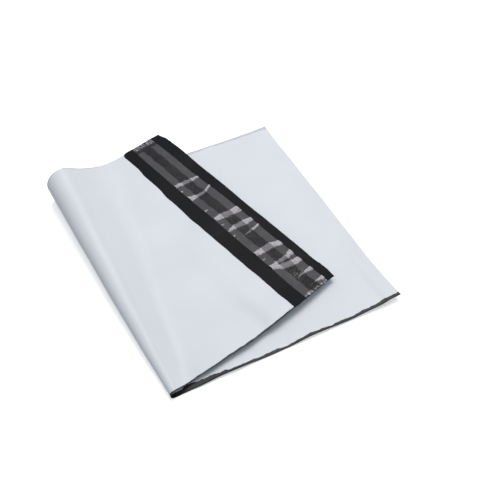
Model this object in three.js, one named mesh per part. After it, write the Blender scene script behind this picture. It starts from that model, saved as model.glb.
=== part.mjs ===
// Poly mailer bag, empty, folded over once and lying on a surface.
//
// The bag is one web of polythene film. It is folded across at its closed end, welded along both
// sides, and its back panel runs on past the mouth as the closing flap, which carries a band of glue
// under a peel-off liner. The film is white outside and black inside.
//
// Places on the bag are given flat, before it is folded over: u runs along the bag from its closed
// end, v runs across it from its front side, and h is the distance from the back panel's inner face,
// measured towards the front panel. The folded bag's lower leaf lies on the surface with u along -X
// and v along +Y, and its upper leaf rests on the lower one. The front panel is outside the fold.
//
// Millimetres, +Z up. The origin is the middle of the bag's footprint, on the surface.
import * as THREE from "three";

// The bag, laid flat.
const WIDTH = 228.6; // 9 in
const LENGTH = 304.8; // 12 in, from the closed end to the mouth
const FLAP = 44.45; // 1.75 in, from the mouth to the flap's edge
const FILM = 0.06; // thickness of one panel
const PANEL_GAP = 0.3; // air between the two panels of the empty bag
const SIDE_WELD = 3; // width of each side weld
const END_CREASE = 1; // how far the panels press together at the closed end
const RAMP = 4; // distance over which the panels part, beside a weld or crease

// The fold. It is tight at the bag's front side and loose at the back, so it is part of a cone.
const FOLD_FRONT = 183; // u where the fold starts, at the front side
const FOLD_BACK = 195.5; // u where the fold starts, at the back side
const LOOP_FRONT = 3.3; // radius of the loop at the front side
const LOOP_BACK = 12.9; // radius of the loop at the back side
const OVERTURN = THREE.MathUtils.degToRad(30); // how far past half a turn the loop goes
const LANDING = 45; // radius at which the upper leaf levels out, at the back side
const REST_RISE = 0.0095; // slope of the upper leaf along the fold, towards the loose end
const LOOP_STEPS = 24;
const LANDING_STEPS = 6;

// The strips on the flap.
const LINER_FROM = 0.26; // the liner's edge by the mouth, as a part of the flap's depth
const LINER_TO = 0.76; // its edge by the flap's edge
const LINER = 0.04; // thickness of the liner
const GLUE_WIDTH = 8;
const GLUE_END = 2; // bare film at each end of the glue
const GLUE = 0.08; // thickness of the glue
const STRIP_GAP = 0.02; // between film and glue, and between glue and liner

const UP = new THREE.Vector3(0, 0, 1);

// Every line of the fold runs to one apex, in front of the bag's front side.
const foldSlope = (FOLD_BACK - FOLD_FRONT) / WIDTH;
const apexReach = (WIDTH * LOOP_FRONT) / (LOOP_BACK - LOOP_FRONT);
const apex = { u: FOLD_FRONT - apexReach * foldSlope, v: -apexReach };

// A ray is the direction from the apex along one straight line of the film, with the film's normal
// there. This turns a stage's first ray and normal about the stage's axis.
function turned(stage, angle) {
  return {
    ray: stage.ray.clone().applyAxisAngle(stage.axis, angle),
    normal: stage.normal.clone().applyAxisAngle(stage.axis, angle),
  };
}

// The stages of the bent film, in order round the apex. A stage starts at a bearing, which is its
// first line's angle on the flat bag, and turns by 1 / spread for each radian of bearing after it.
function foldStages() {
  const bearing = Math.atan(foldSlope);
  const slantBack = (WIDTH + apexReach) / Math.cos(bearing);

  // The loop rolls up and back over the lower leaf.
  const foldRay = new THREE.Vector3(-Math.sin(bearing), Math.cos(bearing), 0);
  const loopSine = LOOP_BACK / slantBack;
  const loopAxis = foldRay.clone().applyAxisAngle(foldRay.clone().cross(UP), Math.asin(loopSine));
  const loop = { bearing, axis: loopAxis, spread: loopSine, ray: foldRay, normal: UP.clone().negate() };
  const loopTurn = Math.PI + OVERTURN;

  // From the loop the upper leaf slants down in a plane, and then levels out round a cone that
  // touches both that plane and the plane it comes to rest in.
  const end = turned(loop, loopTurn);
  const restNormal = UP.clone().applyAxisAngle(foldRay.clone().cross(UP), REST_RISE);
  const landingSine = LANDING / slantBack;
  const between = end.normal.clone().add(restNormal);
  const crossing = restNormal.clone().cross(end.normal);
  const lean = landingSine / (1 + end.normal.dot(restNormal));
  const along = Math.sqrt((1 - lean * lean * between.lengthSq()) / crossing.lengthSq());
  const coneAxis = between.multiplyScalar(lean).addScaledVector(crossing, along);
  const touching = (normal) => coneAxis.clone().addScaledVector(normal, -landingSine).normalize();
  const landingRay = touching(end.normal);
  const restRay = touching(restNormal);
  const landingTurn = landingRay.clone().projectOnPlane(coneAxis)
    .angleTo(restRay.clone().projectOnPlane(coneAxis));

  const slant = {
    bearing: loop.bearing + loopTurn * loopSine,
    axis: end.normal.clone().negate(),
    spread: 1,
    ...end,
  };
  const landing = {
    bearing: slant.bearing + end.ray.angleTo(landingRay),
    axis: coneAxis.clone().negate(),
    spread: landingSine,
    ray: landingRay,
    normal: end.normal,
  };
  const rest = {
    bearing: landing.bearing + landingTurn * landingSine,
    axis: restNormal.clone().negate(),
    spread: 1,
    ray: restRay,
    normal: restNormal,
  };
  return [loop, slant, landing, rest];
}

const stages = foldStages();

// Where the place u, v, h of the flat bag comes to lie once the bag is folded over.
function folded(u, v, h) {
  const lift = PANEL_GAP + FILM; // the front panel is under the lower leaf
  const reach = Math.hypot(u - apex.u, v - apex.v);
  const bearing = Math.atan2(u - apex.u, v - apex.v);
  const stage = stages.findLast((each) => each.bearing <= bearing);
  if (!stage) {
    return new THREE.Vector3(-u, v, lift - h);
  }
  const { ray, normal } = turned(stage, (bearing - stage.bearing) / stage.spread);
  return new THREE.Vector3(-apex.u, apex.v, lift).addScaledVector(ray, reach).addScaledVector(normal, h);
}

// A row is a straight line across the flat bag, given by its u at the front side and at the back.
function rowAlong(bearing) {
  const slope = Math.tan(bearing);
  return { front: apex.u - apex.v * slope, back: apex.u + (WIDTH - apex.v) * slope };
}

function rowAcross(u) {
  return { front: u, back: u };
}

function filmRows() {
  const [loop, slant, landing, rest] = stages;
  const rows = [0, END_CREASE, END_CREASE + RAMP].map(rowAcross);
  for (let i = 0; i <= LOOP_STEPS; i += 1) {
    rows.push(rowAlong(THREE.MathUtils.lerp(loop.bearing, slant.bearing, i / LOOP_STEPS)));
  }
  for (let i = 0; i <= LANDING_STEPS; i += 1) {
    rows.push(rowAlong(THREE.MathUtils.lerp(landing.bearing, rest.bearing, i / LANDING_STEPS)));
  }
  rows.push(rowAcross(LENGTH), rowAcross(LENGTH + FLAP));
  return rows;
}

// The film's closed surface. Its four layers are the back panel's outer and inner faces and the
// front panel's inner and outer faces. In the welds the two inner faces are one, and at the mouth
// the pocket between them is open.
function filmGeometry() {
  const rows = filmRows();
  const columns = [0, SIDE_WELD, SIDE_WELD + RAMP, WIDTH - SIDE_WELD - RAMP, WIDTH - SIDE_WELD, WIDTH];
  const lastColumn = columns.length - 1;
  const end = rows.length - 1;
  const mouth = end - 1;
  const pocketStart = 1;
  const inField = (row, column) => row > pocketStart && column > 1 && column < lastColumn - 1;

  const positions = [];
  const indices = [];
  const layers = { backOuter: [], backInner: [], frontInner: [], frontOuter: [] };
  const addPoint = (row, column, h) => {
    const v = columns[column];
    const u = THREE.MathUtils.lerp(rows[row].front, rows[row].back, v / WIDTH);
    positions.push(...folded(u, v, h).toArray());
    return positions.length / 3 - 1;
  };
  for (let row = 0; row <= end; row += 1) {
    for (const layer of Object.values(layers)) {
      layer.push([]);
    }
    for (let column = 0; column <= lastColumn; column += 1) {
      layers.backOuter[row].push(addPoint(row, column, -FILM));
      layers.backInner[row].push(addPoint(row, column, 0));
      if (row <= mouth) {
        const gap = inField(row, column) ? PANEL_GAP : 0;
        layers.frontInner[row].push(gap > 0 ? addPoint(row, column, gap) : layers.backInner[row][column]);
        layers.frontOuter[row].push(addPoint(row, column, gap + FILM));
      }
    }
  }

  // A four-sided face, as two triangles. One with two corners that are the same point has only one.
  const addFace = (a, b, c, d) => {
    for (const [p, q, r] of [[a, b, c], [a, c, d]]) {
      if (p !== q && q !== r && r !== p) {
        indices.push(p, q, r);
      }
    }
  };
  // One layer between two rows and two columns. Each face is split towards the nearer side's weld,
  // so that the corners of the pocket stay open.
  const addPanel = (layer, fromRow, toRow, fromColumn, toColumn, facesFront) => {
    for (let row = fromRow; row < toRow; row += 1) {
      for (let column = fromColumn; column < toColumn; column += 1) {
        const [near, far] = [layer[row], layer[row + 1]];
        const corners = [near[column], far[column], far[column + 1], near[column + 1]];
        const ring = column < lastColumn / 2 - 1 ? corners : [...corners.slice(1), corners[0]];
        addFace(...(facesFront ? ring : ring.toReversed()));
      }
    }
  };
  // A narrow face along an edge of the film, between two layers.
  const addRim = (low, high, places) => {
    for (let i = 0; i + 1 < places.length; i += 1) {
      const [row, column] = places[i];
      const [nextRow, nextColumn] = places[i + 1];
      addFace(high[row][column], high[nextRow][nextColumn], low[nextRow][nextColumn], low[row][column]);
    }
  };

  addPanel(layers.backOuter, 0, end, 0, lastColumn, false);
  addPanel(layers.frontOuter, 0, mouth, 0, lastColumn, true);
  addPanel(layers.backInner, mouth, end, 0, lastColumn, true);
  addPanel(layers.backInner, pocketStart, mouth, 1, lastColumn - 1, true);
  addPanel(layers.frontInner, pocketStart, mouth, 1, lastColumn - 1, false);

  const rowNumbers = rows.map((_, row) => row);
  const columnNumbers = columns.map((_, column) => column);
  const closedRows = rowNumbers.slice(0, mouth + 1);
  const frontSide = (list) => list.map((row) => [row, 0]).reverse();
  const backSide = (list) => list.map((row) => [row, lastColumn]);
  const closedEnd = columnNumbers.map((column) => [0, column]);
  const mouthLine = columnNumbers.map((column) => [mouth, column]).reverse();
  const flapEdge = columnNumbers.map((column) => [end, column]).reverse();
  addRim(layers.backOuter, layers.backInner, frontSide(rowNumbers));
  addRim(layers.backOuter, layers.backInner, backSide(rowNumbers));
  addRim(layers.backOuter, layers.backInner, closedEnd);
  addRim(layers.backOuter, layers.backInner, flapEdge);
  addRim(layers.backInner, layers.frontOuter, frontSide(closedRows));
  addRim(layers.backInner, layers.frontOuter, backSide(closedRows));
  addRim(layers.backInner, layers.frontOuter, closedEnd);
  addRim(layers.frontInner, layers.frontOuter, mouthLine);

  const geometry = new THREE.BufferGeometry();
  geometry.setAttribute("position", new THREE.Float32BufferAttribute(positions, 3));
  geometry.setIndex(indices);
  return geometry;
}

// A flat strip across the flap, in the flap's own frame: its X is u from the mouth, its Y is v.
function flapStrip(name, material, middle, size, height) {
  const strip = new THREE.Mesh(new THREE.BoxGeometry(...size), material);
  strip.name = name;
  strip.position.set(middle, WIDTH / 2, height + size[2] / 2);
  return strip;
}

const filmPlastic = new THREE.MeshStandardMaterial({ color: 0xdde1e9, roughness: 0.45, metalness: 0 });
const gluePlastic = new THREE.MeshStandardMaterial({ color: 0x242429, roughness: 0.3, metalness: 0 });
const linerPlastic = new THREE.MeshStandardMaterial({ color: 0x4b494e, roughness: 0.2, metalness: 0 });

const film = new THREE.Mesh(filmGeometry(), filmPlastic);
film.name = "bag_film";

const flap = new THREE.Group();
const flapCorner = folded(LENGTH, 0, 0);
const alongFlap = folded(LENGTH + FLAP, 0, 0).sub(flapCorner).normalize();
const acrossFlap = folded(LENGTH, WIDTH, 0).sub(flapCorner).normalize();
const offFlap = alongFlap.clone().cross(acrossFlap);
flap.position.copy(flapCorner);
flap.setRotationFromMatrix(new THREE.Matrix4().makeBasis(alongFlap, acrossFlap, offFlap));

const linerMiddle = ((LINER_FROM + LINER_TO) / 2) * FLAP;
const linerSize = [(LINER_TO - LINER_FROM) * FLAP, WIDTH, LINER];
const glueSize = [GLUE_WIDTH, WIDTH - 2 * GLUE_END, GLUE];
flap.add(
  flapStrip("adhesive_strip", gluePlastic, linerMiddle, glueSize, STRIP_GAP),
  flapStrip("release_liner", linerPlastic, linerMiddle, linerSize, STRIP_GAP + GLUE + STRIP_GAP),
);

const bag = new THREE.Group();
bag.add(film, flap);
const footprint = new THREE.Box3().setFromObject(bag, true);
const middle = footprint.getCenter(new THREE.Vector3());
bag.position.set(-middle.x, -middle.y, -footprint.min.z);

export default bag;
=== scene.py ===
"""Poly mailer bag: the film, the glue band and the peel-off liner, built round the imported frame.

Places on the bag are given flat, before it is folded over: u runs along the bag from its closed
end, v runs across it from its front side, and h is the distance from the back panel's inner face,
measured towards the front panel. Each piece is drawn flat as a grid, and then laid round the fold.
"""

import math

import bpy
import numpy as np
from bpy.props import FloatProperty, FloatVectorProperty, PointerProperty
from mathutils import Matrix, Vector


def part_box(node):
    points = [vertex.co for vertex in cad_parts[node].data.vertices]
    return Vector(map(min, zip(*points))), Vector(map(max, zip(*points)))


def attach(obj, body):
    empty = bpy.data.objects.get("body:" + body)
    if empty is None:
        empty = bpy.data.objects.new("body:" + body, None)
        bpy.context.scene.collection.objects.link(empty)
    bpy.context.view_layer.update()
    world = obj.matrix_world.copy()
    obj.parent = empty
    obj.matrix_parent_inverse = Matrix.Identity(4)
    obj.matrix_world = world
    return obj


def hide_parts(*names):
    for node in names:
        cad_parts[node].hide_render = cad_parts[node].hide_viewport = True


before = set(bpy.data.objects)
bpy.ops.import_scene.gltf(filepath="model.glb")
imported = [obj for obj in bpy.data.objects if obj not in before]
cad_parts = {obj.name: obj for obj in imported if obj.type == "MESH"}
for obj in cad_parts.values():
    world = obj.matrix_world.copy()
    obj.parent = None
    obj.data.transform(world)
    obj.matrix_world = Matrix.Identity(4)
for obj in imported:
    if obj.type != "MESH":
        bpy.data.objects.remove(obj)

bl_info = {
    "name": "Poly Mailer Bag",
    "version": (1, 0, 0),
    "blender": (4, 5, 0),
    "location": "View3D > Sidebar > Mailer Bag",
    "description": "Builds an empty film mailing bag, folded over once, with its closing flap",
    "category": "Add Mesh",
}

MM = 0.001

# How far a curled side of film leans out past its own line, and back towards the fold, for its rise.
CURL_OUT = 0.75
CURL_BACK = 0.63

# The liner's depth from edge to edge, for the waves and puckers drawn on it.
LINER_DEPTH = 22 * MM

SKY_TINT = (0.90, 0.96, 1.0, 1.0)
SOFTBOX_TINT = (1.0, 0.95, 0.91)
SOFTBOX_PLACE = Vector((0.46, 0.54, 1.45))
SOFTBOX_SIZE = 1.1
FLOOR_HALF = 3.0
FLOOR_DROP = 0.05 * MM


def length_property(name, description, default):
    return FloatProperty(name=name, description=description, default=default, unit="LENGTH", min=0)


def share_property(name, description, default):
    return FloatProperty(
        name=name, description=description, default=default, subtype="FACTOR", min=0, max=1
    )


def amount_property(name, description, default):
    return FloatProperty(name=name, description=description, default=default, min=0)


def angle_property(name, description, degrees):
    turn = math.radians(degrees)
    return FloatProperty(name=name, description=description, default=turn, subtype="ANGLE")


def colour_property(name, description, default):
    return FloatVectorProperty(
        name=name, description=description, default=default, subtype="COLOR", size=3, min=0, max=1
    )


class BagSizes(bpy.types.PropertyGroup):
    """The bag laid flat, and the fold it lies in."""

    width: length_property("Width", "Bag width across the mouth", 228.6 * MM)
    length: length_property("Length", "From the closed end to the mouth", 304.8 * MM)
    flap: length_property("Flap", "From the mouth to the flap's edge", 44.45 * MM)
    film: length_property("Film", "Thickness of one panel", 0.06 * MM)
    panel_gap: length_property("Panel gap", "Air between the two panels", 0.3 * MM)
    side_weld: length_property("Side weld", "Width of each side weld", 3 * MM)
    fold_front: length_property("Fold at front", "Where the fold starts, at the front side", 183 * MM)
    fold_back: length_property("Fold at back", "Where the fold starts, at the back side", 195.5 * MM)
    loop_front: length_property("Loop at front", "Radius of the fold's loop at the front side", 3.3 * MM)
    loop_back: length_property("Loop at back", "Radius of the fold's loop at the back side", 12.9 * MM)
    overturn: angle_property("Overturn", "How far past half a turn the loop goes", 30)
    landing: length_property("Landing", "Radius at which the upper leaf levels out", 45 * MM)
    rest_rise: FloatProperty(name="Rest rise", description="Slope of the upper leaf", default=0.0095)


class StripSizes(bpy.types.PropertyGroup):
    """The glue band and its liner, on the flap."""

    liner_from: share_property("Liner from", "Liner's first edge, as a share of the flap", 0.26)
    liner_to: share_property("Liner to", "Liner's second edge, as a share of the flap", 0.76)
    liner: length_property("Liner", "Thickness of the liner", 0.04 * MM)
    glue_width: length_property("Glue width", "Width of the glue band", 8 * MM)
    glue_end: length_property("Glue end", "Bare film at each end of the glue", 2 * MM)
    glue: length_property("Glue", "Thickness of the glue", 0.08 * MM)
    strip_gap: length_property("Strip gap", "Between film, glue and liner", 0.02 * MM)
    pucker: length_property("Pucker", "Height of a pucker in the liner", 1.1 * MM)


class BagColours(bpy.types.PropertyGroup):
    """Colours of the film and the strips."""

    outside: colour_property("Outside", "The film's white outer face", (0.606, 0.636, 0.684))
    inside: colour_property("Inside", "The film's black inner face", (0.0058, 0.0062, 0.0080))
    cut_edge: colour_property("Cut edge", "The sealed and cut edges", (0.010, 0.013, 0.016))
    liner: colour_property("Liner", "The liner's haze", (0.52, 0.50, 0.54))
    glue: colour_property("Glue", "The glue over black film", (0.010, 0.010, 0.012))
    floor: colour_property("Floor", "The pale floor", (0.93, 0.93, 0.93))


class StageSettings(bpy.types.PropertyGroup):
    """Camera and light."""

    target: FloatVectorProperty(
        name="Target",
        description="Where the camera looks",
        default=(24.7 * MM, -36.8 * MM, 0),
        unit="LENGTH",
    )
    distance: length_property("Distance", "From the camera to its target", 536.9 * MM)
    azimuth: angle_property("Azimuth", "Camera's turn about Z", -23.62)
    elevation: angle_property("Elevation", "Camera's height angle", 49.61)
    roll: angle_property("Roll", "Camera's turn about its own line of sight", -2.93)
    lens: FloatProperty(name="Lens", description="Focal length in millimetres", default=47.36, min=1)
    horizon: amount_property("Horizon", "Even light from the sides", 0.44)
    overhead: amount_property("Overhead", "Even light from straight above", 0.65)
    glow: amount_property("Glow", "The floor's own light", 0.42)
    bounce: share_property("Bounce", "Share of its light that the floor throws on the bag", 0.6)
    backdrop: amount_property("Backdrop", "Brightness behind the floor", 0.94)
    softbox: amount_property("Softbox", "Power of the light above, in watts", 20)


# ---------------------------------------------------------------------------------------------
# The fold


def smooth(x, low, high):
    """0 below low, 1 above high, and an even S between them."""
    t = np.clip((x - low) / (high - low), 0, 1)
    return t * t * (3 - 2 * t)


def swell(x, middle, reach):
    """1 at the middle, falling smoothly to 0 at reach on each side."""
    return 1 - smooth(np.abs(x - middle), 0, reach)


def ripples(u, v, seed, shortest, longest, count=14):
    """Even random waves of about -1 to 1, with wavelengths between shortest and longest."""
    draw = np.random.default_rng(seed)
    total = np.zeros(np.broadcast(u, v).shape)
    for _ in range(count):
        direction = draw.uniform(0, math.pi)
        turns = 2 * math.pi / draw.uniform(shortest, longest)
        phase = draw.uniform(0, 2 * math.pi)
        total += np.sin(turns * (u * math.cos(direction) + v * math.sin(direction)) + phase)
    return total / math.sqrt(count)


def turned(vector, axis, angle):
    """A vector turned about a unit axis, once for each angle."""
    cosine = np.cos(angle)[..., None]
    sine = np.sin(angle)[..., None]
    return vector * cosine + np.cross(axis, vector) * sine + axis * (axis @ vector) * (1 - cosine)


def unit(vector):
    return vector / np.linalg.norm(vector)


class Fold:
    """The fold as part of a cone, in stages round its apex: loop, slant, landing and rest."""

    def __init__(self, sizes):
        low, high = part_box("bag_film")
        slope = (sizes.fold_back - sizes.fold_front) / sizes.width
        reach = sizes.width * sizes.loop_front / (sizes.loop_back - sizes.loop_front)
        self.corner = np.array([high.x, low.y, sizes.panel_gap + sizes.film])
        self.apex_u = sizes.fold_front - reach * slope
        self.apex_v = -reach
        self.width = sizes.width
        slant_back = (sizes.width + reach) * math.hypot(1, slope)
        self.stages = self.make_stages(sizes, math.atan(slope), slant_back)

    @staticmethod
    def make_stages(sizes, bearing, slant_back):
        """Each stage's first bearing, axis and spread, and the ray and normal that it starts from."""
        up = np.array([0.0, 0.0, 1.0])
        across = np.array([-math.sin(bearing), math.cos(bearing), 0.0])
        loop_sine = sizes.loop_back / slant_back
        loop_axis = across * math.sqrt(1 - loop_sine**2) + up * loop_sine
        loop_turn = np.array(math.pi + sizes.overturn)
        slant_ray = turned(across, loop_axis, loop_turn)
        slant_normal = turned(-up, loop_axis, loop_turn)

        rest_normal = up * math.cos(sizes.rest_rise) - across * math.sin(sizes.rest_rise)
        landing_sine = sizes.landing / slant_back
        between = slant_normal + rest_normal
        crossing = np.cross(rest_normal, slant_normal)
        lean = landing_sine / (1 + slant_normal @ rest_normal)
        along = math.sqrt((1 - lean**2 * (between @ between)) / (crossing @ crossing))
        cone_axis = between * lean + crossing * along
        landing_ray = unit(cone_axis - slant_normal * landing_sine)
        rest_ray = unit(cone_axis - rest_normal * landing_sine)
        from_axis = [unit(ray - cone_axis * (cone_axis @ ray)) for ray in (landing_ray, rest_ray)]
        landing_turn = math.acos(from_axis[0] @ from_axis[1])

        slant_start = bearing + float(loop_turn) * loop_sine
        landing_start = slant_start + math.acos(slant_ray @ landing_ray)
        rest_start = landing_start + landing_turn * landing_sine
        return [
            (bearing, loop_axis, loop_sine, across, -up),
            (slant_start, -slant_normal, 1.0, slant_ray, slant_normal),
            (landing_start, -cone_axis, landing_sine, landing_ray, slant_normal),
            (rest_start, -rest_normal, 1.0, rest_ray, rest_normal),
        ]

    def starts(self):
        """The bearings at which the loop, the slant, the landing and the rest begin."""
        return [stage[0] for stage in self.stages]

    def bearing(self, u, v):
        """The angle of a place on the flat bag, seen from the apex."""
        return np.arctan2(u - self.apex_u, v - self.apex_v)

    def row(self, bearing):
        """The line across the flat bag at a bearing, as its u at the front side and at the back."""
        slope = math.tan(bearing)
        return self.apex_u - self.apex_v * slope, self.apex_u + (self.width - self.apex_v) * slope

    def place(self, u, v, h):
        """Where places on the flat bag come to lie, as an array of points."""
        u, v, h = np.broadcast_arrays(u, v, h)
        bearing = self.bearing(u, v)
        reach = np.hypot(u - self.apex_u, v - self.apex_v)
        ray = np.stack([-np.sin(bearing), np.cos(bearing), 0 * bearing], axis=-1)
        normal = np.zeros(ray.shape) + [0, 0, -1]
        ends = self.starts()[1:] + [math.inf]
        for (start, axis, spread, first_ray, first_normal), end in zip(self.stages, ends):
            here = (bearing >= start) & (bearing < end)
            angle = (bearing[here] - start) / spread
            ray[here] = turned(first_ray, axis, angle)
            normal[here] = turned(first_normal, axis, angle)
        apex = self.corner + [-self.apex_u, self.apex_v, 0]
        return apex + ray * reach[..., None] + normal * h[..., None]


# ---------------------------------------------------------------------------------------------
# The relief of the film. Each lift is added up in millimetres and given back in metres.


def lower_lift(u, v, sizes):
    """How far the lower leaf stands off the surface it lies on."""
    at_front = np.exp(-v / (14 * MM))
    at_back = np.exp(-np.abs(sizes.width - v) / (10 * MM))
    lift = 0.16 + 0.16 * ripples(u, v, 11, 45 * MM, 110 * MM)
    closed_end = np.exp(-u / (11 * MM)) * (0.7 + 0.5 * ripples(u, v, 12, 40 * MM, 80 * MM))
    front_edge = at_front * (1.1 + 0.7 * ripples(u, 0 * v, 13, 35 * MM, 90 * MM))
    back_edge = at_back * 0.5 * smooth(160 * MM - u, 0, 60 * MM)
    tip = 3.4 * np.clip(1 - np.hypot(u, v) / (48 * MM), 0, 1) ** 2
    ridge = swell(u, 9 * MM, 7 * MM) * smooth(82 * MM - v, 0, 30 * MM)
    lift = np.maximum(lift, 0) + np.maximum(closed_end, 0) + np.maximum(front_edge, 0.3 * at_front)
    return (lift + back_edge + tip + ridge) * MM


def up_to_mouth(u, v, sizes):
    """The short ramp, 0 to 1, on which the upper leaf rises to its mouth."""
    return smooth(u, sizes.length - 31 * MM - 0.1 * v, sizes.length - 16 * MM)


def upper_lift(u, v, sizes):
    """How far the upper leaf and the flap stand off their plane of rest."""
    mouth = sizes.length
    edge = sizes.length + sizes.flap
    lift = 0.45 + 0.3 * ripples(u, v, 21, 40 * MM, 100 * MM)
    front_edge = np.exp(-v / (20 * MM)) * (0.9 + 0.5 * ripples(u, v, 22, 35 * MM, 80 * MM))
    fade = np.clip(1 - v / (90 * MM), 0, 1) ** 1.3
    step = 1.3 * fade * up_to_mouth(u, v, sizes)
    droop = 1 - 0.45 * smooth(u, mouth, edge)
    back = -0.6 * smooth(v, 185 * MM, 230 * MM) * smooth(u, mouth - 40 * MM, mouth)
    flutter = 0.35 * smooth(u, mouth + 4 * MM, edge) * ripples(u, v, 23, 24 * MM, 60 * MM)
    crumple = swell(u, edge - 3 * MM, 11 * MM) * smooth(105 * MM - v, 0, 60 * MM)
    crumple *= 0.3 * ripples(2.6 * u, v, 24, 9 * MM, 26 * MM)
    return (lift + front_edge + step * droop + back + flutter + crumple) * MM


def front_curl(u, v, sizes):
    """How far the upper leaf's front side and its corner at the mouth curl up."""
    from_fold = smooth(u, sizes.fold_front + 12 * MM, sizes.fold_front + 45 * MM)
    by_mouth = up_to_mouth(u, v, sizes)
    side = 2.4 * np.exp(-np.maximum(v, 0) / (17 * MM)) * from_fold * (1 - 0.4 * by_mouth)
    corner = 1.6 * np.clip(1 - v / (95 * MM), 0, 1) ** 1.2 * by_mouth
    on_flap = smooth(u, sizes.length, sizes.length + sizes.flap)
    return (side + corner) * (1 - 0.6 * on_flap) * MM


def sideways(u, v, sizes):
    """How far the cut sides lie out of true, along v. The front side leans out where it curls up."""
    middle = sizes.width / 2
    inward = middle - np.abs(v - middle)
    at_flap = smooth(u, sizes.length - 2 * MM, sizes.length + 40 * MM)
    past_mouth = smooth(u, sizes.length - 1 * MM, sizes.length + 4 * MM)
    sway = 0.25 * ripples(u, 0 * v, 51, 12 * MM, 70 * MM)
    before_mouth = 2.6 * swell(u, sizes.length - 40 * MM, 58 * MM) + 1.7 * swell(u, sizes.length, 40 * MM)
    front = -(0.5 * past_mouth + 0.9 * at_flap + before_mouth)
    back = 2.2 * past_mouth + 1.4 * at_flap
    uneven = (np.where(v < middle, front, back) + sway) * np.exp(-inward / (6 * MM))
    return uneven * MM - CURL_OUT * front_curl(u, v, sizes)


def pulled_in(u, v, sizes):
    """How far the curled front side and the flap's corners are drawn back towards the fold, along u."""
    at_edge = smooth(u, sizes.length + 26 * MM, sizes.length + sizes.flap)
    front = 1.2 * smooth(9 * MM - v, 0, 9 * MM)
    back = 2.6 * smooth(v, sizes.width - 8 * MM, sizes.width)
    return -(front + back) * at_edge * MM - CURL_BACK * front_curl(u, v, sizes)


def lip_slip(v, sizes):
    """How far the front panel's lip lies back from the true mouth, along u."""
    share = v / sizes.width
    waves = 0.4 * ripples(0 * v, v, 43, 14 * MM, 60 * MM)
    return (-0.3 - 2.4 * swell(share, 0.56, 0.5) + waves) * MM


def loop_bulge(v, sizes):
    """How far the loop stands out of its cone, most of all part way along it."""
    share = np.clip(v / sizes.width, 0, 1)
    waves = 0.25 * ripples(0 * v, v, 31, 30 * MM, 90 * MM)
    return (1.7 * np.sin(math.pi * share) + 1.3 * smooth(share, 0.75, 1) + waves) * MM


def relief(fold, sizes, u, v):
    """The film's height over its even folded form, along h."""
    bearing = fold.bearing(u, v)
    loop, slant, _, rest = fold.starts()
    turn = slant - loop
    on_lower = 1 - smooth(bearing, loop - 1.2 * turn, loop)
    on_upper = smooth(bearing, slant, rest)
    on_loop = swell(bearing, loop + 0.6 * turn, 0.55 * turn)
    wander = 0.18 * MM * ripples(u, v, 32, 18 * MM, 60 * MM) * smooth(bearing, loop + 0.3 * turn, slant)
    leaves = on_upper * upper_lift(u, v, sizes) - on_lower * lower_lift(u, v, sizes)
    on_slant = swell(bearing, slant + 0.45 * (rest - slant), 0.6 * (rest - slant))
    sag = 2.6 * MM * on_slant * smooth(v, 0.55 * sizes.width, sizes.width)
    loop_rise = on_loop * loop_bulge(v, sizes) + wander * (1 - on_upper)
    return leaves + front_curl(u, v, sizes) + loop_rise - sag


# ---------------------------------------------------------------------------------------------
# Meshes


def spaced(start, stop, step):
    """Even places from start to stop, about a step apart."""
    return np.linspace(start, stop, max(2, round((stop - start) / step) + 1))


def split(quad):
    """Two triangles for each four-sided face, on the line from its first corner to its third."""
    return np.concatenate([quad[..., [0, 1, 2]].reshape(-1, 3), quad[..., [0, 2, 3]].reshape(-1, 3)])


def sheet(index, faces_front):
    """The triangles of a grid of point numbers. Every layer of film is split the same way."""
    corners = [index[:-1, :-1], index[1:, :-1], index[1:, 1:], index[:-1, 1:]]
    middle = index.shape[1] // 2
    left = np.stack([corner[:, :middle] for corner in corners], axis=-1)
    right = np.stack([corner[:, middle:] for corner in corners[1:] + corners[:1]], axis=-1)
    faces = np.concatenate([split(left), split(right)])
    return faces if faces_front else faces[:, ::-1]


def rim(low, high):
    """A narrow strip of triangles between two rows of point numbers."""
    return split(np.stack([high[:-1], high[1:], low[1:], low[:-1]], axis=-1))


def make_object(name, points, face_groups, flat, materials):
    """An object from points and groups of faces, one group for each material."""
    mesh = bpy.data.meshes.new(name)
    faces = np.concatenate(face_groups)
    mesh.from_pydata(points.tolist(), [], faces.tolist())
    numbers = np.concatenate([np.full(len(group), slot) for slot, group in enumerate(face_groups)])
    mesh.polygons.foreach_set("material_index", numbers.astype(np.int32))
    for material in materials:
        mesh.materials.append(material)
    loops = np.zeros(len(mesh.loops), np.int32)
    mesh.loops.foreach_get("vertex_index", loops)
    layer = mesh.uv_layers.new(name="flat")
    layer.data.foreach_set("uv", flat[loops].astype(np.float32).ravel())
    mesh.shade_smooth()
    mesh.set_sharp_from_angle(angle=math.radians(50))
    mesh.validate()
    piece = bpy.data.objects.new(name, mesh)
    bpy.context.scene.collection.objects.link(piece)
    return piece


def film_rows(fold, sizes):
    """Lines across the flat bag, each as its u at the front side and at the back."""
    loop, slant, _, rest = fold.starts()
    crease = np.array([0, 0.25, 0.6, 1.1]) * MM
    first = fold.row(loop)
    shares = spaced(2.2 * MM / first[0], 1, 2.3 * MM / first[0])
    lines = [(u, u) for u in crease]
    lines += [(share * first[0], share * first[1]) for share in shares[:-1]]
    lines += [fold.row(bearing) for bearing in np.linspace(loop, slant, 33)]
    lines += [fold.row(bearing) for bearing in np.linspace(slant, rest, 25)[1:]]
    last = fold.row(rest)
    mouth = sizes.length
    for share in spaced(0, 1, 0.026)[1:]:
        lines.append((last[0] + (mouth - last[0]) * share, last[1] + (mouth - last[1]) * share))
    mouth_row = len(lines) - 1
    lines += [(u, u) for u in spaced(mouth, mouth + sizes.flap, 2.2 * MM)[1:]]
    return np.array(lines), mouth_row


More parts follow.
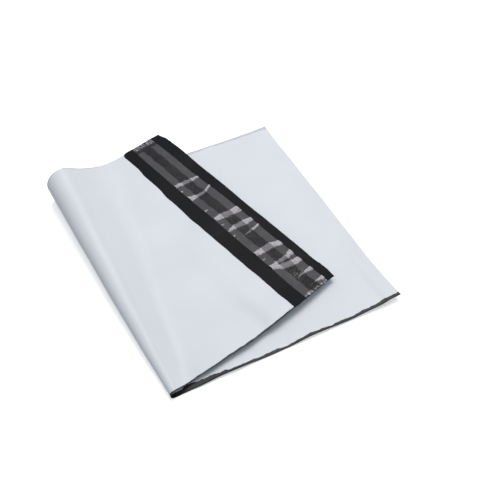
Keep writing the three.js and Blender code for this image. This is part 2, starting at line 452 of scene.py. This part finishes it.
def film_columns(sizes):
    """Places across the bag, closest together in the welds."""
    edge = np.array([0, 0.25, 0.6, 1.1, 1.8, 3.0, 4.6]) * MM
    middle = spaced(7 * MM, sizes.width - 7 * MM, 2.4 * MM)
    return np.concatenate([edge, middle, sizes.width - edge[::-1]])


def lip_gap(u, v, sizes):
    """How far the front panel stands off the back panel."""
    gap = sizes.panel_gap * (0.72 + 0.2 * ripples(u, v, 41, 25 * MM, 70 * MM))
    near_mouth = np.exp(-np.maximum(sizes.length - u, 0) / (9 * MM))
    parting = np.maximum(0.35 + 0.45 * ripples(0 * u, v, 42, 22 * MM, 75 * MM), 0)
    return gap + near_mouth * parting * MM


def film_levels(u, v, gap, sizes):
    """Each face of the two panels: its height over the back panel's inner face, and its slip along u."""
    inward = np.minimum(v, sizes.width - v)
    on_bag = 1 - smooth(u, sizes.length - 2 * MM, sizes.length + 6 * MM)
    bead = 0.2 * MM * np.exp(-((inward / (0.6 * MM)) ** 2)) * on_bag
    bead += 0.05 * MM * swell(inward, sizes.side_weld, 0.9 * MM) * on_bag
    lip = lip_slip(v, sizes) * smooth(u, sizes.length - 16 * MM, sizes.length)
    return {
        "back_outer": (-sizes.film - bead, 0),
        "back_inner": (0 * bead, 0),
        "front_inner": (gap, lip),
        "front_outer": (gap + sizes.film + bead, lip),
    }


def film_faces(index, field, mouth):
    """The film's white, black and cut faces. The field is where the two panels stand apart."""
    first_open = int(np.argmax(field.any(axis=1))) - 1
    first_field = int(np.argmax(field[mouth])) - 1
    pocket = (slice(first_open, mouth + 1), slice(first_field, field.shape[1] - first_field))
    to_mouth = slice(0, mouth + 1)
    from_mouth = slice(mouth, None)
    outer = [
        sheet(index["back_outer"], False),
        sheet(index["front_outer"][to_mouth], True),
    ]
    inner = [
        sheet(index["back_inner"][from_mouth], True),
        sheet(index["back_inner"][pocket], True),
        sheet(index["front_inner"][pocket], False),
    ]
    cut = []
    for low, high, rows in (
        ("back_outer", "back_inner", slice(None)),
        ("back_inner", "front_outer", to_mouth),
    ):
        cut.append(rim(index[low][rows, 0][::-1], index[high][rows, 0][::-1]))
        cut.append(rim(index[low][rows, -1], index[high][rows, -1]))
        cut.append(rim(index[low][0], index[high][0]))
    cut.append(rim(index["back_outer"][-1][::-1], index["back_inner"][-1][::-1]))
    cut.append(rim(index["front_inner"][mouth][::-1], index["front_outer"][mouth][::-1]))
    return [np.concatenate(group) for group in (outer, inner, cut)]


def build_film(sizes, materials):
    """The film of the bag: two panels that are one in the welds and the crease, and the flap."""
    fold = Fold(sizes)
    lines, mouth = film_rows(fold, sizes)
    columns = film_columns(sizes)
    u = lines[:, :1] + (lines[:, 1:] - lines[:, :1]) * (columns / sizes.width)
    v = np.broadcast_to(columns, u.shape)
    height = relief(fold, sizes, u, v)
    lay_u = u + pulled_in(u, v, sizes)
    lay_v = v + sideways(u, v, sizes)

    inward = np.minimum(v, sizes.width - v)
    weld = smooth(inward, sizes.side_weld - 0.2 * MM, sizes.side_weld + 4 * MM)
    gap = lip_gap(u, v, sizes) * weld * smooth(u, 1.05 * MM, 5 * MM)
    levels = film_levels(u, v, gap, sizes)
    points = []
    index = {}
    for number, (layer, (level, slip)) in enumerate(levels.items()):
        points.append(fold.place(lay_u + slip, lay_v, height + level).reshape(-1, 3))
        index[layer] = np.arange(u.size).reshape(u.shape) + number * u.size
    field = (gap > 0) & (np.arange(len(lines))[:, None] <= mouth)
    index["front_inner"] = np.where(field, index["front_inner"], index["back_inner"])

    points, groups, flat = drop_unused(
        np.concatenate(points),
        film_faces(index, field, mouth),
        np.tile(np.stack([u.ravel(), v.ravel()], axis=-1), (len(levels), 1)),
    )
    return make_object("film_bag", points, groups, flat, materials)


def drop_unused(points, groups, flat):
    """Leaves out the points that no face uses."""
    used = np.unique(np.concatenate([group.ravel() for group in groups]))
    number = np.zeros(len(points), np.int64)
    number[used] = np.arange(len(used))
    return points[used], [number[group] for group in groups], flat[used]


# ---------------------------------------------------------------------------------------------
# Strips on the flap

# Puckers of the liner. Each row gives a pucker's middle and its width, in millimetres along the
# flap, on four lines across the liner: its first edge, the two sides of the glue, its second edge.
PUCKERS = (
    ((5.6, 0.0), (5.6, 0.0), (5.4, 0.6), (4.4, 4.4)),
    ((17.6, 0.0), (17.6, 0.0), (17.4, 2.4), (17.0, 4.4)),
    ((37.3, 4.4), (33.0, 6.8), (30.6, 6.4), (29.8, 6.0)),
    ((38.6, 3.4), (38.3, 3.2), (37.8, 4.2), (39.6, 5.8)),
    ((56.8, 5.4), (55.8, 6.8), (55.6, 7.4), (52.6, 6.4)),
    ((79.0, 0.0), (78.6, 0.4), (79.3, 2.4), (80.0, 3.0)),
    ((90.4, 1.4), (90.9, 5.2), (89.5, 6.6), (88.9, 4.2)),
    ((102.0, 0.0), (102.0, 0.0), (101.8, 0.6), (102.2, 2.4)),
    ((108.2, 3.8), (107.2, 7.4), (105.2, 6.6), (106.0, 5.0)),
    ((142.6, 7.8), (140.8, 3.6), (140.6, 3.0), (144.0, 2.2)),
    ((162.6, 3.2), (162.0, 5.0), (160.9, 4.2), (160.1, 2.6)),
)
PUCKER_LINES = (0.0, 0.31, 0.68, 1.0)
# Small puckers at the liner's first edge: their middles, and how far in they reach, in millimetres.
NICKS = ((47.8, 3.4), (83.6, 2.2), (99.2, 3.4), (121.2, 3.6), (154.2, 2.4))


def pucker_lift(across, along):
    """Shares of a pucker's height at places across the liner, 0 to 1, and along it in metres."""
    lift = np.zeros(np.broadcast(across, along).shape)
    ragged = 0.3 * ripples(across * LINER_DEPTH, along, 71, 1.3 * MM, 5 * MM)
    for lines in PUCKERS:
        middles, widths = zip(*lines)
        middle = np.interp(across, PUCKER_LINES, middles)
        half = 0.5 * np.interp(across, PUCKER_LINES, widths) + 0.02
        inside = 1 - np.abs(along / MM + ragged - middle) / half
        lift = np.maximum(lift, np.sqrt(np.clip(inside, 0, 1)) * np.clip(0.3 + half / 2.6, 0, 1))
    for middle, reach in NICKS:
        taper = 1 - across * LINER_DEPTH / (reach * MM)
        inside = 1 - np.abs(along / MM + ragged - middle) / np.maximum(taper, 0.02)
        lift = np.maximum(lift, 0.5 * np.sqrt(np.clip(inside, 0, 1)) * (taper > 0))
    return lift


def liner_edges(v, sizes, strips):
    """Where the liner's two edges lie past the mouth, along u. It was laid on slightly askew."""
    share = v / sizes.width
    first = strips.liner_from * sizes.flap + (0.9 - 1.8 * smooth(share, 0.25, 0.85)) * MM
    last = strips.liner_to * sizes.flap + (2.4 - 3.3 * smooth(share, 0.3, 0.95)) * MM
    return first, last


def ragged_ends(across, v, sizes, insets, fray):
    """Draws places on a strip in from its two ragged ends, by an inset at each end."""
    share = v / sizes.width
    crosswise = across * 20 * MM
    front = insets[0] + np.abs(fray * ripples(crosswise, 0 * v, 61, 3 * MM, 14 * MM))
    back = insets[1] + np.abs(fray * ripples(crosswise, 0 * v, 62, 3 * MM, 14 * MM))
    return v + front * (1 - share) - back * share


def build_strip(name, sizes, u, v, low, high, materials, rise):
    """A thin closed strip on the flap, between two heights over the film."""
    fold = Fold(sizes)
    under = relief(fold, sizes, u, v) + rise
    lay_u = u + pulled_in(u, v, sizes)
    lay_v = v + sideways(u, v, sizes)
    bottom = fold.place(lay_u, lay_v, under + low).reshape(-1, 3)
    top = fold.place(lay_u, lay_v, under + high).reshape(-1, 3)
    index = np.arange(u.size).reshape(u.shape)
    above = index + u.size
    faces = np.concatenate(
        [
            sheet(index, False),
            sheet(above, True),
            rim(index[:, 0][::-1], above[:, 0][::-1]),
            rim(index[:, -1], above[:, -1]),
            rim(index[0], above[0]),
            rim(index[-1][::-1], above[-1][::-1]),
        ]
    )
    flat = np.tile(np.stack([u.ravel(), v.ravel()], axis=-1), (2, 1))
    return make_object(name, np.concatenate([bottom, top]), [faces], flat, materials)


def build_glue(sizes, strips, materials):
    """The glue band, crowned along its middle, with wavering sides."""
    across = np.linspace(0, 1, 13)[:, None]
    bare = (strips.glue_end, strips.glue_end)
    v = ragged_ends(across, spaced(0, sizes.width, 1.5 * MM), sizes, bare, 0.4 * MM)
    first, last = liner_edges(v, sizes, strips)
    side = 2 * across - 1
    waver = 0.3 * MM * side * ripples(0 * v, v, 63, 5 * MM, 30 * MM)
    u = sizes.length + (first + last) / 2 + strips.glue_width / 2 * side + waver
    crown = 0.03 * MM * (1 - side**2) + 0 * u
    low = strips.strip_gap
    return build_strip("glue_band", sizes, u, v, low, low + strips.glue, materials, crown)


def build_liner(sizes, strips, materials):
    """The liner over the glue, with its puckers, its fine crinkle and its curled ends."""
    across = np.linspace(0, 1, 49)[:, None]
    v = ragged_ends(across, spaced(0, sizes.width, 0.5 * MM), sizes, (0, 0.2 * MM), 0.7 * MM)
    first, last = liner_edges(v, sizes, strips)
    across = np.broadcast_to(across, v.shape)
    u = sizes.length + first + (last - first) * across
    pucker = pucker_lift(across, v)
    curl = np.exp(-np.minimum(v, sizes.width - v) / (1.8 * MM))
    crinkle = np.maximum(ripples(u, v, 64, 2.4 * MM, 8 * MM), 0)
    stillness = 0.15 + 0.85 * smooth(0.75 * sizes.width - v, 0, 30 * MM)
    rise = strips.pucker * pucker + 0.06 * MM * crinkle * stillness
    rise += curl * (0.5 + 0.45 * ripples(across * LINER_DEPTH, 0 * v, 65, 2.5 * MM, 8 * MM)) * MM
    rise = np.maximum(rise, 0)
    low = strips.strip_gap * 2 + strips.glue + 0.03 * MM
    liner = build_strip("peel_liner", sizes, u, v, low, low + strips.liner, materials, rise)
    add_liner_masks(liner, u, v, across, pucker, sizes, strips)
    return liner


def add_liner_masks(liner, u, v, across, pucker, sizes, strips):
    """Marks where the glue wets the liner, with a band of painted shade across its bent back end, and
    where the liner stands loose, frayed or specked.
    """
    glue_half = strips.glue_width / 2 / (strips.liner_to - strips.liner_from) / sizes.flap
    from_middle = np.abs(across - 0.495) + 0.015 * ripples(0 * u, v, 66, 5 * MM, 30 * MM)
    wet_and_bend_shade = 1 - smooth(from_middle, glue_half - 0.01, glue_half + 0.03)
    shreds = ripples(across * LINER_DEPTH, 0.4 * v, 67, 0.9 * MM, 4 * MM, 24)
    at_front = np.exp(-v / (1.8 * MM))
    at_back = smooth(v + 0.7 * MM * shreds, sizes.width - 4.6 * MM, sizes.width - 3.4 * MM)
    frayed_front = smooth(at_front * (0.8 + 0.8 * shreds), 0.25, 0.6)
    frayed_back = 0.62 * at_back * smooth(shreds, -0.5, 0.9)
    # Painted shade: a band across the liner near its back end, where the film bends, is made as dark as
    # the liner over the glue.
    bent = swell(v + 0.5 * MM * shreds, sizes.width - 6.6 * MM, 3.2 * MM)
    specks = swell(v, 19 * MM, 8 * MM) * swell(across, 0.5, 0.42)
    specks *= smooth(ripples(across * 30 * MM, v, 68, 1.0 * MM, 3 * MM), 0.6, 1.2)
    wet_and_bend_shade = wet_and_bend_shade * (1 - 0.8 * np.maximum(specks, at_back))
    frayed = np.maximum(frayed_front, frayed_back)
    add_mask(liner, "wet_and_bend_shade", np.maximum(wet_and_bend_shade, 0.8 * smooth(bent, 0.2, 0.8)))
    add_mask(liner, "loose", np.maximum(smooth(pucker, 0.12, 0.42), np.maximum(frayed, specks)))


def add_mask(piece, name, values):
    """Stores a mask on a strip's points, the same on its under side and its top."""
    mask = piece.data.attributes.new(name, "FLOAT", "POINT")
    mask.data.foreach_set("value", np.tile(values.ravel(), 2).astype(np.float32))


# ---------------------------------------------------------------------------------------------
# Materials


class Nodes:
    """Short calls for making nodes in one tree. An input is a plain value or another node's output."""

    def __init__(self, tree):
        self.tree = tree

    def add(self, kind, inputs=None, **settings):
        node = self.tree.nodes.new(kind)
        for name, value in settings.items():
            setattr(node, name, value)
        for name, value in (inputs or {}).items():
            self.feed(node, name, value)
        return node

    def feed(self, node, name, value):
        if isinstance(value, bpy.types.NodeSocket):
            self.tree.links.new(value, node.inputs[name])
        else:
            node.inputs[name].default_value = value

    def math(self, operation, first, second=0.0, clamp=False):
        node = self.add("ShaderNodeMath", {0: first, 1: second}, operation=operation, use_clamp=clamp)
        return node.outputs[0]

    def vector(self, operation, first, second):
        node = self.add("ShaderNodeVectorMath", {0: first, 1: second}, operation=operation)
        return node.outputs[0]

    def scale(self, value, low, high, to_low, to_high):
        """Carries low..high over to to_low..to_high, and stops at both ends."""
        inputs = {"Value": value, "From Min": low, "From Max": high, "To Min": to_low, "To Max": to_high}
        return self.add("ShaderNodeMapRange", inputs).outputs["Result"]

    def blend(self, share, first, second):
        node = self.add("ShaderNodeMix", data_type="RGBA")
        self.feed(node, 0, share)
        self.feed(node, 6, first)
        self.feed(node, 7, second)
        return node.outputs[2]

    def noise(self, vector, scale, detail=2.0):
        node = self.add("ShaderNodeTexNoise", {"Vector": vector, "Scale": scale, "Detail": detail})
        return node.outputs["Fac"]


def film_surface_group():
    """Marks that all the film shares: grain, lines drawn along the web, haze and handling creases."""
    name = "Film surface"
    if name in bpy.data.node_groups:
        return bpy.data.node_groups[name]
    tree = bpy.data.node_groups.new(name, "ShaderNodeTree")
    for label, value in (("Grain", 1400.0), ("Lines", 500.0), ("Cloud", 26.0), ("Creases", 24.0)):
        socket = tree.interface.new_socket(label, in_out="INPUT", socket_type="NodeSocketFloat")
        socket.default_value = value
    for label in ("Height", "Cloud", "Crease"):
        tree.interface.new_socket(label, in_out="OUTPUT", socket_type="NodeSocketFloat")
    nodes = Nodes(tree)
    given = nodes.add("NodeGroupInput").outputs
    taken = nodes.add("NodeGroupOutput")
    flat = nodes.add("ShaderNodeUVMap", uv_map="flat").outputs["UV"]
    drawn = nodes.add("ShaderNodeMapping", {"Vector": flat, "Scale": (1.0, 0.03, 1.0)}).outputs["Vector"]
    grain = nodes.noise(flat, given["Grain"], 3.0)
    lines = nodes.noise(drawn, given["Lines"], 2.0)
    cloud = nodes.noise(flat, given["Cloud"], 4.0)
    bent = nodes.add("ShaderNodeTexNoise", {"Vector": flat, "Scale": 30.0, "Detail": 2.0}).outputs["Color"]
    offset = nodes.vector("MULTIPLY", bent, (0.02, 0.02, 0.0))
    cell_inputs = {"Vector": nodes.vector("ADD", flat, offset), "Scale": given["Creases"]}
    cell_sides = nodes.add("ShaderNodeTexVoronoi", cell_inputs, feature="DISTANCE_TO_EDGE")
    cells = cell_sides.outputs["Distance"]
    line = nodes.scale(cells, 0.0, 0.035, 1.0, 0.0)
    kept = nodes.scale(nodes.noise(flat, 17.0, 1.0), 0.5, 0.66, 0.0, 1.0)
    crease = nodes.math("MULTIPLY", line, kept)
    fine = nodes.math("ADD", nodes.math("MULTIPLY", grain, 0.35), nodes.math("MULTIPLY", lines, 0.65))
    nodes.feed(taken, "Height", nodes.math("ADD", fine, crease))
    nodes.feed(taken, "Cloud", cloud)
    nodes.feed(taken, "Crease", crease)
    return tree


def start_material(name):
    """A material with nothing in it but its shader and its output."""
    material = bpy.data.materials.new(name)
    material.use_nodes = True
    material.node_tree.nodes.clear()
    nodes = Nodes(material.node_tree)
    shader = nodes.add("ShaderNodeBsdfPrincipled")
    nodes.add("ShaderNodeOutputMaterial", {"Surface": shader.outputs["BSDF"]})
    return material, nodes, shader


def opaque(colour, factor=1.0):
    """A colour as the nodes take it, made brighter or darker by a factor."""
    return (colour[0] * factor, colour[1] * factor, colour[2] * factor, 1.0)


def film_material(name, colour, shade, roughness, bump, gloss):
    """Polythene film. Its colour and gloss drift a little, and handling has left faint creases, whose
    colour is painted light: darker as painted shade on the white film, paler as a painted highlight on the
    black.
    """
    material, nodes, shader = start_material(name)
    marks = nodes.add("ShaderNodeGroup", node_tree=film_surface_group())
    cloud = marks.outputs["Cloud"]
    tone = nodes.scale(cloud, 0.35, 0.65, 0.0, 1.0)
    # Painted light: creases are tinted by the shade factor, as painted shade below 1 and as a painted
    # highlight above 1.
    crease_light_and_shade = nodes.blend(marks.outputs["Crease"], opaque(colour), opaque(colour, shade))
    tinted = nodes.blend(tone, crease_light_and_shade, opaque(colour, 1 + (shade - 1) * 0.45))
    nodes.feed(shader, "Base Color", tinted)
    nodes.feed(shader, "Roughness", nodes.scale(cloud, 0.3, 0.7, roughness - 0.06, roughness + 0.06))
    inputs = {"Height": marks.outputs["Height"], "Strength": bump, "Distance": 0.12 * MM}
    nodes.feed(shader, "Normal", nodes.add("ShaderNodeBump", inputs).outputs["Normal"])
    shader.inputs["IOR"].default_value = 1.46
    shader.inputs["Specular IOR Level"].default_value = gloss
    return material, nodes, shader, tinted


def white_film_material(colour, edge_colour, sizes):
    """White film. Along the cut sides the black layer shows through as a dark, uneven line.

    The line is widest on the lower leaf, beside the fold and at the closed end. It is partly the real seal
    and partly painted shade: beside the fold it is widened to paint the shade inside the fold, and it is
    darkest on the front side, where shade falls, fading towards the back side.
    """
    material, nodes, shader, tinted = film_material("white_film", colour, 0.965, 0.46, 0.3, 0.35)
    flat = nodes.add("ShaderNodeUVMap", uv_map="flat").outputs["UV"]
    along, across = nodes.add("ShaderNodeSeparateXYZ", {"Vector": flat}).outputs[:2]
    from_middle = nodes.math("ABSOLUTE", nodes.math("SUBTRACT", across, sizes.width / 2))
    inward = nodes.math("SUBTRACT", sizes.width / 2, from_middle)
    fold = sizes.fold_front
    width = nodes.scale(nodes.noise(flat, 110.0, 3.0), 0.3, 0.7, 1.5 * MM, 3.1 * MM)
    # Painted shade: the second span doubles the line's width towards the fold, standing in for the shade
    # inside the fold.
    for start, stop, first, last in (
        (0.0, 45 * MM, 1.5, 1.0),
        (fold - 50 * MM, fold - 8 * MM, 1.0, 2.0),
        (fold - 3 * MM, fold + 10 * MM, 1.0, 0.16),
    ):
        width = nodes.math("MULTIPLY", width, nodes.scale(along, start, stop, first, last))
    sealed = nodes.math("LESS_THAN", inward, width)
    # Painted shade: the line is strongest on the front side, where shade falls, and fades to 0.22 of it on
    # the back side.
    shown = nodes.math("MULTIPLY", sealed, nodes.scale(across, 0.0, sizes.width, 1.0, 0.22))
    nodes.feed(shader, "Base Color", nodes.blend(shown, tinted, opaque(edge_colour)))
    return material


def black_film_material(colour):
    """The film's black layer, with painted highlights that make its creases paler."""
    return film_material("black_film", colour, 1.8, 0.42, 0.5, 0.06)[0]


def cut_edge_material(colour, film_colour, sizes):
    """The sealed cut. The black layer shows through it, most of all on the front side, where its darkness
    is partly painted shade; towards the back side it is painted paler.
    """
    material, nodes, shader = start_material("sealed_cut_edge")
    flat = nodes.add("ShaderNodeUVMap", uv_map="flat").outputs["UV"]
    across = nodes.add("ShaderNodeSeparateXYZ", {"Vector": flat}).outputs["Y"]
    patches = nodes.scale(nodes.noise(flat, 260.0, 3.0), 0.4, 0.65, 0.0, 1.0)
    dark = nodes.blend(patches, opaque(colour), opaque(colour, 2.2))
    # Painted shade: the cut is darkest on the front side, where shade falls, and is blended towards the
    # white film's colour towards the back side.
    pale = nodes.scale(across, 0.0, sizes.width, 0.0, 0.75)
    nodes.feed(shader, "Base Color", nodes.blend(pale, dark, opaque(film_colour)))
    nodes.feed(shader, "Roughness", nodes.scale(patches, 0.0, 1.0, 0.35, 0.55))
    return material


def glue_material(colour):
    """Hot-melt glue: smooth and dark, with shallow bubbles."""
    material, nodes, shader = start_material("hot_melt_glue")
    flat = nodes.add("ShaderNodeUVMap", uv_map="flat").outputs["UV"]
    bubbles = nodes.add("ShaderNodeTexVoronoi", {"Vector": flat, "Scale": 420.0}).outputs["Distance"]
    patches = nodes.noise(flat, 140.0, 3.0)
    nodes.feed(shader, "Base Color", nodes.blend(patches, opaque(colour), opaque(colour, 1.8)))
    nodes.feed(shader, "Roughness", nodes.scale(patches, 0.3, 0.7, 0.25, 0.4))
    shader.inputs["Specular IOR Level"].default_value = 0.05
    inputs = {"Height": bubbles, "Strength": 0.3, "Distance": 0.1 * MM}
    nodes.feed(shader, "Normal", nodes.add("ShaderNodeBump", inputs).outputs["Normal"])
    return material


def liner_material(colour):
    """Clear liner: hazy over bare film, darker where the glue wets it and in a band of painted shade by
    its bent back end, and milky where it stands loose, partly as haze and partly as a painted highlight.
    """
    material, nodes, shader = start_material("clear_peel_liner")
    flat = nodes.add("ShaderNodeUVMap", uv_map="flat").outputs["UV"]
    loose = nodes.add("ShaderNodeAttribute", attribute_name="loose").outputs["Fac"]
    wet_and_bend_shade = nodes.add("ShaderNodeAttribute", attribute_name="wet_and_bend_shade").outputs["Fac"]
    uneven = nodes.scale(nodes.noise(flat, 120.0, 4.0), 0.3, 0.7, 0.86, 1.14)
    drawn = nodes.add("ShaderNodeMapping", {"Vector": flat, "Scale": (0.35, 1.0, 1.0)}).outputs["Vector"]
    streaks = nodes.scale(nodes.noise(drawn, 900.0, 3.0), 0.36, 0.6, 0.6, 1.1)
    haze = nodes.math("MULTIPLY", nodes.scale(wet_and_bend_shade, 0.0, 1.0, 0.068, 0.011), uneven)
    # Painted highlight: where the liner stands loose it turns milky, partly haze and partly standing in
    # for the light that the puckers reflect.
    milkiness_and_highlight = nodes.math("MULTIPLY", nodes.scale(wet_and_bend_shade, 0.0, 1.0, 0.41, 0.155), streaks)
    milk_and_highlight = nodes.math("MULTIPLY", loose, milkiness_and_highlight)
    # Painted highlight: loose liner is also given a paler colour.
    nodes.feed(shader, "Base Color", nodes.blend(loose, opaque(colour), opaque(colour, 1.25)))
    nodes.feed(shader, "Alpha", nodes.math("ADD", haze, milk_and_highlight, clamp=True))
    nodes.feed(shader, "Roughness", nodes.scale(uneven, 0.86, 1.14, 0.2, 0.32))
    shader.inputs["Specular IOR Level"].default_value = 0.07
    inputs = {"Height": nodes.noise(flat, 700.0, 3.0), "Strength": 0.35, "Distance": 0.1 * MM}
    nodes.feed(shader, "Normal", nodes.add("ShaderNodeBump", inputs).outputs["Normal"])
    return material


def floor_material(colour, glow, bounce):
    """A pale floor. Seen directly it glows, so that shadows on it stay faint. It lights the bag less."""
    material, nodes, shader = start_material("pale_floor")
    place = nodes.add("ShaderNodeTexCoord").outputs["Object"]
    drift = nodes.noise(place, 6.0, 2.0)
    seen = nodes.add("ShaderNodeLightPath").outputs["Is Camera Ray"]
    shown = nodes.blend(drift, opaque(colour), opaque(colour, 0.99))
    nodes.feed(shader, "Base Color", nodes.blend(seen, opaque(colour, bounce), shown))
    shader.inputs["Roughness"].default_value = 0.8
    shader.inputs["Specular IOR Level"].default_value = 0.2
    shader.inputs["Emission Color"].default_value = opaque(colour)
    nodes.feed(shader, "Emission Strength", nodes.math("MULTIPLY", seen, glow))
    return material


# ---------------------------------------------------------------------------------------------
# Operators


class MAILER_OT_stage(bpy.types.Operator):
    """Add the camera, the lights and the pale floor"""

    bl_idname = "mailer.stage"
    bl_label = "Stage"

    def execute(self, context):
        stage = context.scene.mailer_stage
        self.add_camera(context.scene, stage)
        self.add_lights(context.scene, stage)
        self.add_floor(context.scene)
        context.scene.view_settings.view_transform = "Standard"
        return {"FINISHED"}

    def add_camera(self, scene, stage):
        data = bpy.data.cameras.new("camera")
        data.lens = stage.lens
        data.sensor_width = 36
        data.clip_start = 10 * MM
        camera = bpy.data.objects.new("camera", data)
        scene.collection.objects.link(camera)
        turn = Matrix.Rotation(stage.azimuth, 4, "Z")
        tilt = Matrix.Rotation(math.pi / 2 - stage.elevation, 4, "X")
        roll = Matrix.Rotation(stage.roll, 4, "Z")
        away = Matrix.Translation((0, 0, stage.distance))
        camera.matrix_world = Matrix.Translation(Vector(stage.target)) @ turn @ tilt @ roll @ away
        scene.camera = camera

    def add_lights(self, scene, stage):
        world = bpy.data.worlds.new("even_light")
        world.use_nodes = True
        nodes = Nodes(world.node_tree)
        direction = nodes.add("ShaderNodeTexCoord").outputs["Generated"]
        height = nodes.add("ShaderNodeSeparateXYZ", {"Vector": direction}).outputs["Z"]
        background = world.node_tree.nodes["Background"]
        nodes.feed(background, "Color", SKY_TINT)
        sky = nodes.scale(height, 0.0, 1.0, stage.horizon, stage.overhead)
        camera_ray = nodes.add("ShaderNodeLightPath").outputs["Is Camera Ray"]
        seen = nodes.math("MULTIPLY", camera_ray, stage.backdrop)
        nodes.feed(background, "Strength", nodes.math("MAXIMUM", sky, seen))
        scene.world = world
        data = bpy.data.lights.new("softbox", "AREA")
        data.size = SOFTBOX_SIZE
        data.energy = stage.softbox
        data.color = SOFTBOX_TINT
        light = bpy.data.objects.new("softbox", data)
        facing = SOFTBOX_PLACE.to_track_quat("Z", "Y").to_matrix().to_4x4()
        light.matrix_world = Matrix.Translation(SOFTBOX_PLACE) @ facing
        scene.collection.objects.link(light)

    def add_floor(self, scene):
        turns = ((-1, -1), (1, -1), (1, 1), (-1, 1))
        corners = [(FLOOR_HALF * x, FLOOR_HALF * y, -FLOOR_DROP) for x, y in turns]
        mesh = bpy.data.meshes.new("floor")
        mesh.from_pydata(corners, [], [(0, 1, 2, 3)])
        stage = scene.mailer_stage
        mesh.materials.append(floor_material(scene.mailer_colours.floor, stage.glow, stage.bounce))
        floor = bpy.data.objects.new("floor", mesh)
        scene.collection.objects.link(floor)


def settle(piece, node):
    """Hangs a piece on the root body and hides the frame part that it stands in for."""
    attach(piece, "root")
    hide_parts(node)


class MAILER_OT_film(bpy.types.Operator):
    """Add the film of the bag with its welds, mouth and flap"""

    bl_idname = "mailer.film"
    bl_label = "Bag film"

    def execute(self, context):
        colours = context.scene.mailer_colours
        sizes = context.scene.mailer_sizes
        materials = [
            white_film_material(colours.outside, colours.cut_edge, sizes),
            black_film_material(colours.inside),
            cut_edge_material(colours.cut_edge, colours.outside, sizes),
        ]
        settle(build_film(sizes, materials), "bag_film")
        return {"FINISHED"}


class MAILER_OT_glue(bpy.types.Operator):
    """Add the band of hot-melt glue on the flap"""

    bl_idname = "mailer.glue"
    bl_label = "Glue band"

    def execute(self, context):
        scene = context.scene
        material = glue_material(scene.mailer_colours.glue)
        glue = build_glue(scene.mailer_sizes, scene.mailer_strips, [material])
        settle(glue, "adhesive_strip")
        return {"FINISHED"}


class MAILER_OT_liner(bpy.types.Operator):
    """Add the puckered peel-off liner over the glue"""

    bl_idname = "mailer.liner"
    bl_label = "Peel-off liner"

    def execute(self, context):
        scene = context.scene
        material = liner_material(scene.mailer_colours.liner)
        liner = build_liner(scene.mailer_sizes, scene.mailer_strips, [material])
        settle(liner, "release_liner")
        return {"FINISHED"}


class MAILER_PT_panel(bpy.types.Panel):
    """Lists the bag's operators and settings"""

    bl_idname = "MAILER_PT_panel"
    bl_label = "Mailer Bag"
    bl_space_type = "VIEW_3D"
    bl_region_type = "UI"
    bl_category = "Mailer Bag"

    def draw(self, context):
        for operator in OPERATORS:
            self.layout.operator(operator.bl_idname)
        for group in SETTINGS:
            box = self.layout.box()
            for name in SETTINGS[group].__annotations__:
                box.prop(getattr(context.scene, group), name)


SETTINGS = {
    "mailer_sizes": BagSizes,
    "mailer_strips": StripSizes,
    "mailer_colours": BagColours,
    "mailer_stage": StageSettings,
}
OPERATORS = (MAILER_OT_stage, MAILER_OT_film, MAILER_OT_glue, MAILER_OT_liner)
CLASSES = (*SETTINGS.values(), *OPERATORS, MAILER_PT_panel)


def register():
    for each in CLASSES:
        bpy.utils.register_class(each)
    for name, group in SETTINGS.items():
        setattr(bpy.types.Scene, name, PointerProperty(type=group))


def unregister():
    for name in SETTINGS:
        delattr(bpy.types.Scene, name)
    for each in reversed(CLASSES):
        bpy.utils.unregister_class(each)


def main():
    """Builds the bag."""
    register()
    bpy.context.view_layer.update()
    bpy.ops.mailer.stage()
    bpy.ops.mailer.film()
    bpy.ops.mailer.glue()
    bpy.ops.mailer.liner()


if __name__ == "__main__":
    main()
